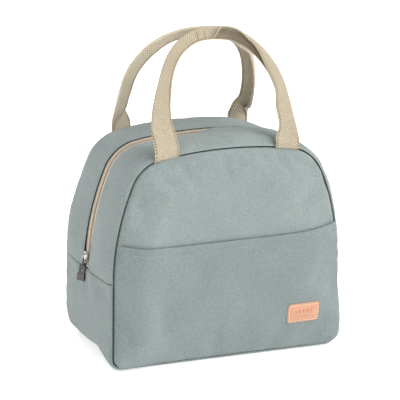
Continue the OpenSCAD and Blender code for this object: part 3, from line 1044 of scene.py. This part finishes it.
def zip_coil(half):
    """One half of the coil: a helix whose loops lean along the zip and mesh with the other half's."""
    sign, per_turn, wire, high = SIGN[half], 12, 0.5 * MM, 0.85 * MM
    turn = np.arange(int((ZIP_LENGTH - 6 * MM) / COIL_PITCH) * per_turn) * 2 * math.pi / per_turn
    reach = (COIL_EDGE + 0.35 * MM) / 2
    middle = COIL_EDGE - reach
    y = middle - reach * np.cos(turn)
    inset = COIL_TOP + high + wire / 2 - high * np.sin(turn)
    shift = 0 if half == "front" else COIL_PITCH / 2
    along = 3 * MM + turn / (2 * math.pi) * COIL_PITCH + shift + 0.45 * y
    centre = zip_place(along, sign * y, inset)
    tangent = unit(np.gradient(centre, axis=0))
    hint = unit(zip_place(along, sign * y, inset - MM) - zip_place(along, sign * middle, inset))
    side = unit(np.cross(tangent, hint))
    rings = rings_around(centre, side, np.cross(side, tangent), wire, 6)
    return place(tubes_object(half + "_zip_coil_helix", [rings], COIL), half, "zip_coil")


def coil_stitches(half):
    """The row of thread that holds the coil on its tape."""
    along, y = np.linspace(6 * MM, ZIP_LENGTH - 6 * MM, 260), SIGN[half] * (COIL_EDGE - 0.9 * MM)
    path = zip_place(along, y, COIL_TOP - 0.05 * MM)
    normals = path - zip_place(along, y, COIL_TOP + MM)
    obj = stitch_row(half + "_coil_stitches", path, normals, CREAM_THREAD, pitch=1.9 * MM, radius=0.2 * MM)
    place(obj, half, "thread")


def zip_topstitch(half):
    """A row of thread beside each hemmed edge of the zip."""
    line = (FRONT_LIP if half == "front" else REAR_LIP) + 2.2 * MM
    columns = COLUMNS_OF[half][::-1]
    y, rows = SIGN[half] * COLUMNS[columns], GUSSET[:N_ZIP, columns][::-1]
    path = np.array([[np.interp(line, y, row[:, i]) for i in range(3)] for row in rows])
    obj = stitch_row(half + "_zip_topstitch", path, -inwards(ZIP_LOOP_S[::-1]), SAGE_THREAD, radius=0.2 * MM)
    place(obj, half, "thread")


def rear_lip_shadow_cord():
    """A near-black cord along the edge of the rear fabric, all along the zip: a painted shadow of the gap
    under the rear lip.
    """
    down, across = inwards(ZIP_LOOP_S), np.array([0, 1.0, 0])
    centre = GUSSET[:N_ZIP, HALF_COLUMNS + 1] + 0.35 * MM * down - 0.7 * MM * across
    rings = rings_around(centre, across, down, 0.6 * MM, 8)
    place(tubes_object("rear_zip_painted_shadow_cord", [rings], SHADOW_CORD), "rear", "binding")


def end_stops():
    """A small crimped block across both halves of the coil at each end."""
    blocks = []
    for end in (1.8 * MM, ZIP_LENGTH - 1.8 * MM):
        rings = []
        for a in np.linspace(-1, 1, 9):
            x, up = rounded_box((1.25 * MM * math.sqrt(1 - 0.75 * a ** 4), 1.0 * MM), 0.45 * MM, 3).T
            rings.append(zip_place(end + x, a * (COIL_EDGE + 0.3 * MM), COIL_TOP + 1.0 * MM - up))
        blocks.append(rings)
    return place(tubes_object("zip_end_stop_blocks", blocks, NICKEL), "root", "nickel")


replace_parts(zip_tape("front"), "front_zip_tape", "zip_tape_ends")
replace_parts(zip_tape("rear"), "rear_zip_tape")
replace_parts(zip_coil("front"), "front_zip_coil", "zip_coil_ends")
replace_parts(zip_coil("rear"), "rear_zip_coil")
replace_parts(end_stops(), "zip_end_stops")
rear_lip_shadow_cord()
for side in ("front", "rear"):
    coil_stitches(side)
    zip_topstitch(side)


# ---------------------------------------- lining and bindings

LINING_Y = SEAM_Y - LINING_INSET


def crinkle(grid, amount):
    """Small soft waves in every direction, as film has after sewing."""
    x, y, z = (grid[..., i] / MM for i in range(3))
    wave = np.sin(0.31 * x + 0.17 * z + 0.2 * y) * np.sin(0.23 * z - 0.11 * x + 0.27 * y)
    wave = wave + 0.5 * np.sin(0.53 * x - 0.47 * z + 0.4 * y + 1.3 * np.sin(0.09 * z))
    return amount * wave


def lining_panel(name, half):
    sign = SIGN[half]
    grid = lift(flat_panel(LINING_INSET, sign * SEAM_Y), sign * LINING_Y)
    grid[..., 1] -= sign * (crinkle(grid, 0.35 * MM) + 0.5 * MM)
    obj = grid_object(name, grid, FOIL, flat_panel(LINING_INSET), flip=sign < 0)
    thicken(obj, 0.3 * MM, offset=0.0)
    return place(obj, half, "foil_lining")


def lining_gusset(name, s, y, body):
    """Film under the gusset, rising to the zip tape if it is one of the two halves."""
    cloth = cloth_grid(s, y)
    s, y = cloth[..., 0], cloth[..., 1]
    near_zip = (1 - between(np.abs(y) - TAPE_EDGE, 0, 6)) * (body != "root")
    inset = LINING_INSET + near_zip * (TAPE_IN + 0.9 * MM - LINING_INSET)
    waves = crinkle(lift(OUTLINE.at(s, inset), y), 0.35 * MM) * (1 - near_zip)
    obj = grid_object(name, lift(settled_at(s, y, inset + 0.5 * MM + waves), y), FOIL, cloth)
    thicken(obj, 0.3 * MM, offset=0.0)
    return place(obj, body, "foil_lining")


def binding_tape(name, sign, s, body):
    """Tape folded over the seam allowance inside the bag."""
    low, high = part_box("front_binding_upper")
    section = rounded_box(((high.y - low.y) / 2, 0.8 * MM), 0.7 * MM, 3)
    y = sign * (section[:, 0] - (low.y + high.y) / 2)
    depth = LINING_INSET + 2.2 * MM - section[:, 1]
    rings = [lift(settled_at(np.full(len(y), v), y, depth), y) for v in s]
    return place(tubes_object(name, [rings], BINDING), body, "binding")


def side_and_crown(count):
    """Arc lengths from just over the right side seam to just over the left one."""
    half = np.linspace(OUTLINE.seam, OUTLINE.top, count)
    return np.concatenate([half, -half[:-1][::-1]])


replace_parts(lining_panel("front_lining_film", "front"), "front_lining_lower", "front_lining_upper")
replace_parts(lining_panel("back_lining_film", "rear"), "back_lining_lower", "back_lining_upper")
OVER = side_and_crown(50)
UNDER = np.linspace(-OUTLINE.seam, OUTLINE.seam, 120)
for side, sign in SIGN.items():
    width = sign * np.linspace(TAPE_EDGE - 1 * MM, LINING_Y, 18)
    film = lining_gusset(side + "_gusset_lining_film", OVER, width if sign > 0 else width[::-1], side)
    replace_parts(film, side + "_gusset_lining")
    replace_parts(binding_tape(side + "_binding_over", sign, OVER, side), side + "_binding_upper")
    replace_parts(binding_tape(side + "_binding_under", sign, UNDER, "root"), side + "_binding_lower")
BASE_Y = np.linspace(-LINING_Y, LINING_Y, 40)
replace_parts(lining_gusset("base_lining_film", UNDER, BASE_Y, "root"), "base_lining")


# ---------------------------------------- handles

WEBBING_W = 25 * MM
WEBBING_T = 1.7 * MM
WEBBING_U = np.linspace(-WEBBING_W / 2, WEBBING_W / 2, 31)
FOOT_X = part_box("front_handle_webbing")[1].x
SWING = next(j for j in frame["joints"] if j["name"] == "rear_handle_swing")
HANDLE_Y, HANDLE_Z = SWING["pos_m"][1:]
GRIP_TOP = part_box("rear_handle_webbing")[1].z - HANDLE_Z
GRIP_Y = 3.2 * MM               # the grips meet over the zip, this far from its middle
LEAN = math.atan2(HANDLE_Y - GRIP_Y, GRIP_TOP)
HANDLE_H = GRIP_TOP / math.cos(LEAN) - 2.5 * MM      # and room over it for the folded webbing
BARTACK_X = (-12, -4)


def handle_frame(sign):
    """Pivot, up and outward directions of a handle's own plane; sign is -1 for the front handle."""
    pivot = np.array([0, sign * HANDLE_Y, HANDLE_Z])
    up = np.array([0, -sign * math.sin(LEAN), math.cos(LEAN)])
    outwards = np.array([0, sign * math.cos(LEAN), math.sin(LEAN)])
    return pivot, up, outwards


def handle_edge(half_width, squareness, shift, foot_shift):
    """Outer edge of a handle in its own plane, from the right foot over the arch to the left one."""
    h = HANDLE_H * np.sin(np.linspace(0, math.pi / 2, 78))
    half = half_width * (1 - np.minimum(h / HANDLE_H, 1) ** squareness) ** 0.41
    middle = foot_shift + (shift - foot_shift) * smooth((h - 20 * MM) / (60 * MM))
    right, left = np.stack([middle + half, h], -1), np.stack([middle - half, h], -1)
    return np.concatenate([right, left[:-1][::-1]])


def folded_section(fold_at, outer_tilt, inner_tilt):
    """The webbing's cross-section, folded lengthwise at a place across its width.

    Its outer face's flap tilts out of the handle's plane by outer_tilt, and the flap behind by inner_tilt."""
    fine = np.linspace(-WEBBING_W / 2, WEBBING_W / 2, 241)
    turned = smooth((fine - fold_at) / (4.6 * MM) + 0.5)
    angle = -outer_tilt - (math.pi + inner_tilt - outer_tilt) * turned
    step = fine[1] - fine[0]
    r, n = (np.concatenate([[0], np.cumsum(turn(angle[1:]) * step)]) for turn in (np.cos, np.sin))
    fold_n = np.interp(min(fold_at, WEBBING_W / 2), fine, n)
    return np.interp(WEBBING_U, fine, r - r.max()), np.interp(WEBBING_U, fine, n - fold_n)


def front_fold(x, h):
    """Where the front handle is folded, and how far its two flaps stand open."""
    if x < 0:
        gape = between(h, 46, 74) * (1 - between(h, 96, 112))
        fold_at = 14.0 * (1 - between(h, -8, 84)) + 0.4
        return fold_at * MM, math.radians(22) * gape, math.radians(-4) * gape
    gape = between(x, 3, 9)
    fold_at = 0.4 + (4.5 * (1 - between(h, 34, 58)) + 10.0 * bump(h / (13 * MM))) * gape
    outer = math.radians(50) * between(h, 70, 112) + math.radians(24) * between(h, 108, 120)
    return fold_at * MM, outer * gape, math.radians(5) * gape * between(h, 60, 100)


def rear_fold(x, h):
    """The same for the rear handle, which is creased just above its feet."""
    if x < 0:
        creased_at = between(h, -4, 14) * (1 - between(h, 34, 64))
        fold_at = 14.0 * (1 - between(h, -20, 24)) + 0.6
        gape = between(h, 30, 50) * (1 - between(h, 100, 118))
        return fold_at * MM, math.radians(24) * creased_at, math.radians(-16) * gape
    creased_at = between(h, 2, 9) * (1 - between(h, 34, 78))
    fold_at = 14.0 * (1 - between(h, -13, 21)) + 0.6
    gape = between(h, 4, 14) * (1 - between(h, 92, 116))
    return fold_at * MM, math.radians(24) * creased_at, math.radians(-66) * gape


def handle_grid(sign, edge, fold):
    """A handle's webbing: rows along it from right to left, columns from its inner to its outer edge."""
    pivot, up, outwards = handle_frame(sign)
    tangent = unit(np.gradient(edge, axis=0))
    out = np.stack([tangent[:, 1], -tangent[:, 0]], -1)
    rows = []
    for point, o in zip(edge, out):
        r, n = folded_section(*fold(*point))
        flat = point + r[:, None] * o
        rows.append(pivot + flat[:, :1] * (1, 0, 0) + flat[:, 1:] * up + n[:, None] * outwards)
    rows = np.array(rows)
    return np.concatenate([foot_rows(rows[0], sign), rows, foot_rows(rows[-1], sign)[::-1]])


def foot_rows(first, sign):
    """The flat end of the webbing, from inside the seam up to the fold."""
    x = first[:, 0]
    s = np.interp(np.abs(x), OUTLINE.points[-200:, 0][::-1], OUTLINE.length[-200:][::-1])
    s = np.where(x < 0, -s, s)
    rows = []
    for inset, y in ((SEAM_INSET + 6 * MM, SEAM_Y - 2.6 * MM), (SEAM_INSET + 2 * MM, SEAM_Y - 0.8 * MM),
                     (SEAM_INSET + 0.9 * MM, SEAM_Y + 0.4 * MM), (SEAM_INSET - 0.6 * MM, SEAM_Y + 1.1 * MM)):
        flat = settled_at(s, sign * y, inset)
        rows.append(np.stack([x, np.full(len(x), sign * y), flat[:, 1]], -1))
    rows.append(0.45 * rows[-1] + 0.55 * first)
    return np.array(rows)


def swing_with(obj):
    """Bakes a handle piece's placement into its mesh; the piece is left unattached, so it does not swing with
    the handle.
    """
    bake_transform(obj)


def handle(half, edge, fold):
    sign = SIGN[half]
    grid = handle_grid(sign, edge, fold)
    cloth = cloth_grid(distances(grid[:, len(WEBBING_U) // 2]), WEBBING_U)
    obj = grid_object(half + "_handle_strap", grid, WEBBING_OF[half], cloth, flip=sign > 0)
    give_thickness(obj, WEBBING_T, 0.0)
    swing_with(rounded(obj))
    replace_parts(obj, half + "_handle_webbing", half + "_handle_anchors")
    return grid


def edge_stitches(half, grid):
    """A row of thread along each edge of the webbing's outer face."""
    face = unit(np.cross(np.gradient(grid, axis=0), np.gradient(grid, axis=1)) * -SIGN[half])
    for label, column in (("inner", 2), ("outer", -3)):
        normals = face[5:-5, column]
        path = grid[5:-5, column] + normals * (WEBBING_T / 2 + 0.02 * MM)
        obj = stitch_row(f"{half}_handle_{label}_stitches", path, normals, WEBBING_THREAD, pitch=3.2 * MM)
        swing_with(obj)


def bartack(half):
    """Two dense bars of thread across the grip, on its outer face."""
    pivot, up, outwards = handle_frame(SIGN[half])
    t = np.linspace(0, 1, 7)[:, None]
    proud = 1.65 * MM + WEBBING_T / 2 + 0.15 * MM * np.sin(np.pi * t)
    thick = 0.26 * MM * np.sqrt(np.clip(1 - (2 * t - 1) ** 4, 0.05, 1))
    threads = []
    for x in BARTACK_X:
        for k in range(17):
            across = (x * MM + (t - 0.5) * 1.9 * MM) * (1, 0, 0)
            centre = pivot + across + up * (HANDLE_H - 3.0 * MM - k * 0.5 * MM) + proud * outwards
            threads.append(rings_around(centre, up, outwards, thick, 6))
    obj = tubes_object(half + "_handle_bartack_thread", threads, TACK_THREAD)
    return place(obj, half + "_handle", "thread")


HANDLES = (
    ("front", handle_edge(FOOT_X - 1.0 * MM, 2.0, 4.0 * MM, -2.0 * MM), front_fold),
    ("rear", handle_edge(FOOT_X - 2.5 * MM, 3.0, -2.2 * MM, 1.6 * MM), rear_fold),
)
for side, edge, fold in HANDLES:
    edge_stitches(side, handle(side, edge, fold))
    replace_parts(bartack(side), side + "_handle_bartacks")


# ---------------------------------------- slider and pull

def polished(obj, width):
    """Slightly rounded edges."""
    bevel = obj.modifiers.new("edges", "BEVEL")
    bevel.width, bevel.segments = width, 3
    bevel.limit_method = "ANGLE"
    bevel.angle_limit = math.radians(35)
    normals = obj.modifiers.new("shading", "WEIGHTED_NORMAL")
    normals.keep_sharp = False
    return obj


class Local:
    """A local frame on the zip: X runs outwards from the side of the bag, Y across and Z up along the zip."""

    def __init__(self, origin, tilt, twist=0.0):
        turn = Matrix.Rotation(tilt, 4, "Y") @ Matrix.Diagonal((-1, 1, 1, 1)) @ Matrix.Rotation(twist, 4, "Z")
        self.matrix = np.array(Matrix.Translation(origin) @ turn)

    def __call__(self, points):
        points = np.asarray(points, float)
        return points @ self.matrix[:3, :3].T + self.matrix[:3, 3]


def solid(name, parts, material, body, slot, bevel):
    """One piece of several parts, each given as vertices and faces."""
    verts, faces = [], []
    for part, part_faces in parts:
        faces += [tuple(len(verts) + i for i in face) for face in part_faces]
        verts += list(part)
    return place(polished(outward(new_object(name, verts, faces, material)), bevel), body, slot)


def extruded(local, outline, x0, x1):
    """Two loops in Y and Z at two depths, as vertices and faces."""
    n = len(outline)
    verts = [local((x, y, z)) for x in (x0, x1) for y, z in outline]
    faces = [tuple(range(n)), tuple(range(n, 2 * n))]
    faces += [(i, (i + 1) % n, n + (i + 1) % n, n + i) for i in range(n)]
    return verts, faces


def shield(width, length, nose):
    """Outline of a slider plate: broad shoulders at the top, tapering to a rounded foot."""
    right = [(width / 2 - 1.4 * MM, length / 2), (width / 2, length / 2 - 1.4 * MM),
             (width / 2, -length * 0.05),
             (nose / 2, -length / 2 + 1.2 * MM), (nose / 2 - 1.2 * MM, -length / 2)]
    return right + [(-y, z) for y, z in right[::-1]]


def slider_parts():
    low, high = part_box("slider_body")
    width = high.y - low.y
    length = (high.z - low.z) - 0.9 * MM
    out, plate_t = 1.2 * MM, 1.2 * MM
    under = -2.9 * MM
    parts = [
        extruded(SLIDER, shield(width, length, width * 0.72), out, out + plate_t),
        extruded(SLIDER, shield(width * 0.96, length, width * 0.66), under - plate_t, under),
        extruded(SLIDER, rounded_box((0.5 * MM, 2 * MM), 0.4 * MM, 2) + (0, length / 2 - 3 * MM), under, out),
    ]
    for sign in (-1, 1):
        rail = rounded_box((0.45 * MM, length * 0.42), 0.35 * MM, 2)
        rail = rail + (sign * (width / 2 - 0.45 * MM), 0.4 * MM)
        parts.append(extruded(SLIDER, rail, 0.1 * MM, out + 0.1 * MM))
    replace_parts(solid("slider_shell", parts, NICKEL, "slider", "nickel", 0.25 * MM), "slider_body")
    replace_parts(slider_loop(out + plate_t - 0.2 * MM), "slider_bridge")


def slider_loop(foot):
    """The loop on the slider's face that holds the pull, swept along its arch."""
    t = np.linspace(0, math.pi, 25)
    rise = 3.5 * MM * np.sin(t) ** 0.6 - 0.6 * MM * (np.sin(t) > 0.99)
    path = np.column_stack([foot + rise, -3.6 * MM * np.cos(t)])
    tangent = unit(np.gradient(path, axis=0))
    out = np.column_stack([tangent[:, 1], -tangent[:, 0]])
    y, high = rounded_box((0.95 * MM, 0.5 * MM), 0.4 * MM, 3).T
    rings = SLIDER(lift(path[:, None] + high[:, None] * out[:, None], y))
    return place(tubes_object("slider_loop", [rings], NICKEL), "slider", "nickel")


def pull_parts():
    """A wire link through the slider's loop, and a framed tab with a solid end."""
    t = np.linspace(0, 2 * math.pi, 41)[:-1]
    half_w, half_l = 1.7 * MM, 3.9 * MM
    y = half_w * np.sign(np.cos(t)) * np.abs(np.cos(t)) ** 0.7
    z = -half_l + 0.7 * MM + half_l * np.sign(np.sin(t)) * np.abs(np.sin(t)) ** 0.7
    centre = np.column_stack([np.zeros(len(t)), y, z])
    tangent = unit(np.roll(centre, -1, 0) - np.roll(centre, 1, 0))
    rings = PULL(rings_around(centre, np.cross(tangent, (1, 0, 0)), (1, 0, 0), 0.55 * MM, 8))
    link = tubes_object("pull_wire_link", [rings], GUNMETAL, closed=True)
    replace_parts(place(link, "puller", "gunmetal"), "pull_link")
    top, bottom = -5.9 * MM, -21.8 * MM
    frame_mid, frame_half = (top - 15.2 * MM) / 2, (15.2 * MM + top) / 2
    outer = rounded_box((3.4 * MM, frame_half), 1.4 * MM, 4) + (0, frame_mid)
    inner = rounded_box((1.5 * MM, frame_half - 2.2 * MM), 0.8 * MM, 4) + (0, frame_mid)
    n = len(outer)
    verts = [TAB((x, yy, zz)) for x in (-0.8 * MM, 0.8 * MM) for loop in (outer, inner) for yy, zz in loop]
    faces = []
    for i in range(n):
        j = (i + 1) % n
        faces += [(i, j, n + j, n + i), (2 * n + i, 3 * n + i, 3 * n + j, 2 * n + j),
                  (i, 2 * n + i, 2 * n + j, j), (n + i, n + j, 3 * n + j, 3 * n + i)]
    block_half = (-14.4 * MM - bottom) / 2
    block = rounded_box((4.2 * MM, block_half), 0.8 * MM, 3) + (0, bottom + block_half)
    rib = rounded_box((0.7 * MM, frame_half * 0.5), 0.4 * MM, 2) + (0, frame_mid + frame_half * 0.35)
    parts = [(verts, faces), extruded(TAB, block, -1.35 * MM, 1.35 * MM),
             extruded(TAB, rib, -0.45 * MM, 0.45 * MM)]
    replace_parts(solid("pull_framed_tab", parts, GUNMETAL, "puller", "gunmetal", 0.35 * MM), "pull_tab")


SLIDER_Z = 98 * MM
SLIDER_X = OUTLINE.at(-OUTLINE.length_at_height(SLIDER_Z))[0]
EYE = Vector((-126.13 * MM, 0, 96.78 * MM))              # where the pull's link turns in the slider's loop
SLIDER = Local(Vector((SLIDER_X, 0, SLIDER_Z)), math.radians(5.07))
PULL = Local(EYE, 0.0)
TAB = Local(EYE, math.radians(7), math.radians(-38))
slider_parts()
pull_parts()
